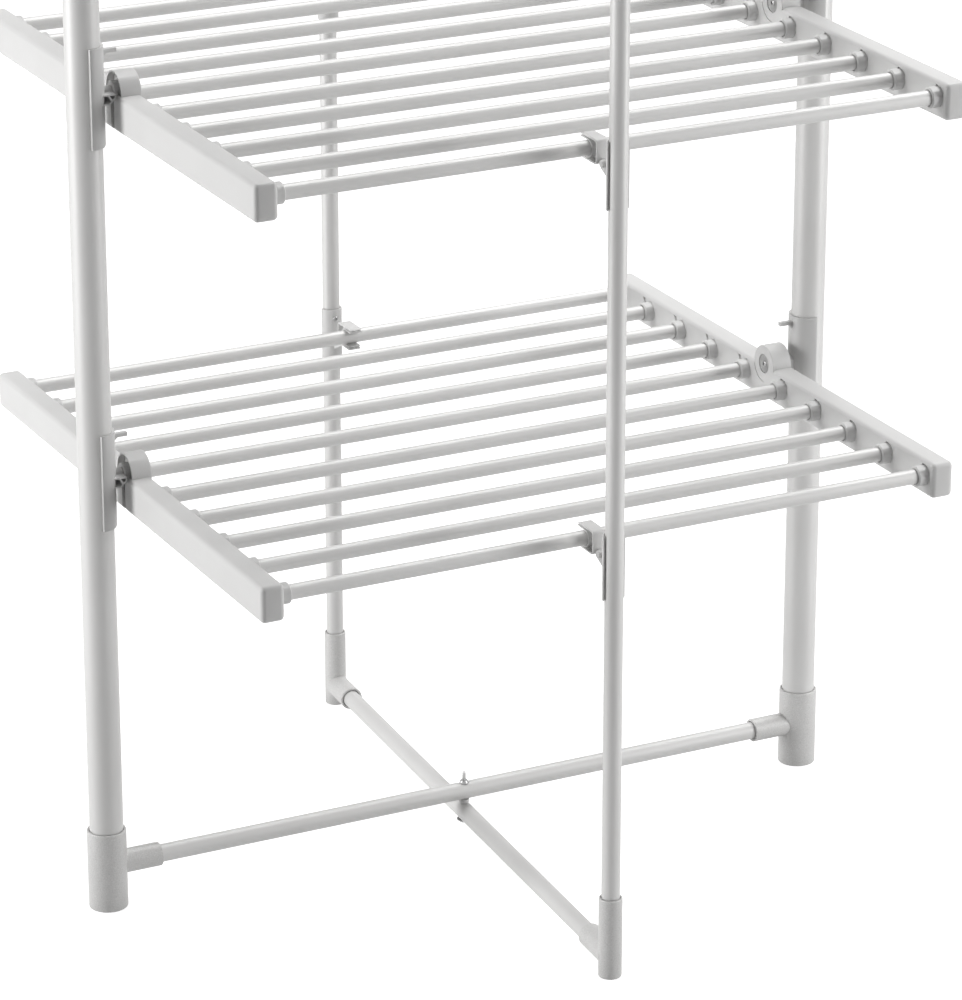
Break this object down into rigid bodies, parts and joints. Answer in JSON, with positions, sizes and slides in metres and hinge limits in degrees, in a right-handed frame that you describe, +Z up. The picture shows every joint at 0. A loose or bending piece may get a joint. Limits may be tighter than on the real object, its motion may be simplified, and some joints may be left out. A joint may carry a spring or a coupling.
{
  "type": "folding clothes dryer",
  "caption": "Free-standing tower for drying laundry, with winged tiers of round bars that fold up against a swinging cross frame.",
  "frame": {"origin": "on the floor, under the centre pivot of the two frames", "axes": "+X from the left thick leg to the right one, along the bars; +Y from the front pole to the rear one; +Z up"},
  "size_m": [0.7348, 0.6592, 1.38],
  "materials": {
    "tube": "satin silver",
    "frame_plastic": "light grey, finely textured",
    "foot_plastic": "silver grey with a fine speckle",
    "pivot_steel": "bright plated"
  },
  "bodies": {
    "main_frame": {"left_leg": "tube", "right_leg": "tube", "left_leg_foot": "foot_plastic", "right_leg_foot": "foot_plastic", "upper_base_tube": "tube", "centre_pivot_bolt": "pivot_steel", "centre_pivot_spacer": "frame_plastic"},
    "cross_frame": {"front_pole": "tube", "rear_pole": "tube", "front_pole_foot": "foot_plastic", "rear_pole_foot": "foot_plastic", "lower_base_tube": "tube", "lower_front_pole_clip": "frame_plastic", "lower_rear_pole_clip": "frame_plastic", "middle_front_pole_clip": "frame_plastic", "middle_rear_pole_clip": "frame_plastic", "upper_front_pole_clip": "frame_plastic", "upper_rear_pole_clip": "frame_plastic"},
    "lower_front_wing": {"lower_front_left_rail": "frame_plastic", "lower_front_right_rail": "frame_plastic", "lower_front_bar_1": "tube", "lower_front_bar_2": "tube", "lower_front_bar_3": "tube", "lower_front_bar_4": "tube", "lower_front_bar_5": "tube"},
    "lower_rear_wing": {"lower_rear_left_rail": "frame_plastic", "lower_rear_right_rail": "frame_plastic", "lower_rear_bar_1": "tube", "lower_rear_bar_2": "tube", "lower_rear_bar_3": "tube", "lower_rear_bar_4": "tube", "lower_rear_bar_5": "tube"},
    "middle_front_wing": {"middle_front_left_rail": "frame_plastic", "middle_front_right_rail": "frame_plastic", "middle_front_bar_1": "tube", "middle_front_bar_2": "tube", "middle_front_bar_3": "tube", "middle_front_bar_4": "tube", "middle_front_bar_5": "tube"},
    "middle_rear_wing": {"middle_rear_left_rail": "frame_plastic", "middle_rear_right_rail": "frame_plastic", "middle_rear_bar_1": "tube", "middle_rear_bar_2": "tube", "middle_rear_bar_3": "tube", "middle_rear_bar_4": "tube", "middle_rear_bar_5": "tube"},
    "upper_front_wing": {"upper_front_left_rail": "frame_plastic", "upper_front_right_rail": "frame_plastic", "upper_front_bar_1": "tube", "upper_front_bar_2": "tube", "upper_front_bar_3": "tube", "upper_front_bar_4": "tube", "upper_front_bar_5": "tube"},
    "upper_rear_wing": {"upper_rear_left_rail": "frame_plastic", "upper_rear_right_rail": "frame_plastic", "upper_rear_bar_1": "tube", "upper_rear_bar_2": "tube", "upper_rear_bar_3": "tube", "upper_rear_bar_4": "tube", "upper_rear_bar_5": "tube"}
  },
  "joints": [
    {"name": "cross_frame_swing", "type": "hinge", "parent": "main_frame", "child": "cross_frame", "pos_m": [0, 0, 0], "axis": [0, 0, -1], "range_deg": [0, 74]},
    {"name": "lower_front_wing_fold", "type": "hinge", "parent": "main_frame", "child": "lower_front_wing", "pos_m": [0, 0, 0.4027], "axis": [-1, 0, 0], "range_deg": [0, 87], "deforming": ["lower_front_pole_clip"]},
    {"name": "lower_rear_wing_fold", "type": "hinge", "parent": "main_frame", "child": "lower_rear_wing", "pos_m": [0, 0, 0.4027], "axis": [1, 0, 0], "range_deg": [0, 87], "deforming": ["lower_rear_pole_clip"]},
    {"name": "middle_front_wing_fold", "type": "hinge", "parent": "main_frame", "child": "middle_front_wing", "pos_m": [0, 0, 0.7407], "axis": [-1, 0, 0], "range_deg": [0, 87], "deforming": ["middle_front_pole_clip"]},
    {"name": "middle_rear_wing_fold", "type": "hinge", "parent": "main_frame", "child": "middle_rear_wing", "pos_m": [0, 0, 0.7407], "axis": [1, 0, 0], "range_deg": [0, 87], "deforming": ["middle_rear_pole_clip"]},
    {"name": "upper_front_wing_fold", "type": "hinge", "parent": "main_frame", "child": "upper_front_wing", "pos_m": [0, 0, 1.0787], "axis": [-1, 0, 0], "range_deg": [0, 87], "deforming": ["upper_front_pole_clip"]},
    {"name": "upper_rear_wing_fold", "type": "hinge", "parent": "main_frame", "child": "upper_rear_wing", "pos_m": [0, 0, 1.0787], "axis": [1, 0, 0], "range_deg": [0, 87], "deforming": ["upper_rear_pole_clip"]}
  ],
  "couplings": [
    {"joint": "lower_front_wing_fold", "follows": "cross_frame_swing", "ratio": 1.1757},
    {"joint": "lower_rear_wing_fold", "follows": "cross_frame_swing", "ratio": 1.1757},
    {"joint": "middle_front_wing_fold", "follows": "cross_frame_swing", "ratio": 1.1757},
    {"joint": "middle_rear_wing_fold", "follows": "cross_frame_swing", "ratio": 1.1757},
    {"joint": "upper_front_wing_fold", "follows": "cross_frame_swing", "ratio": 1.1757},
    {"joint": "upper_rear_wing_fold", "follows": "cross_frame_swing", "ratio": 1.1757}
  ]
}
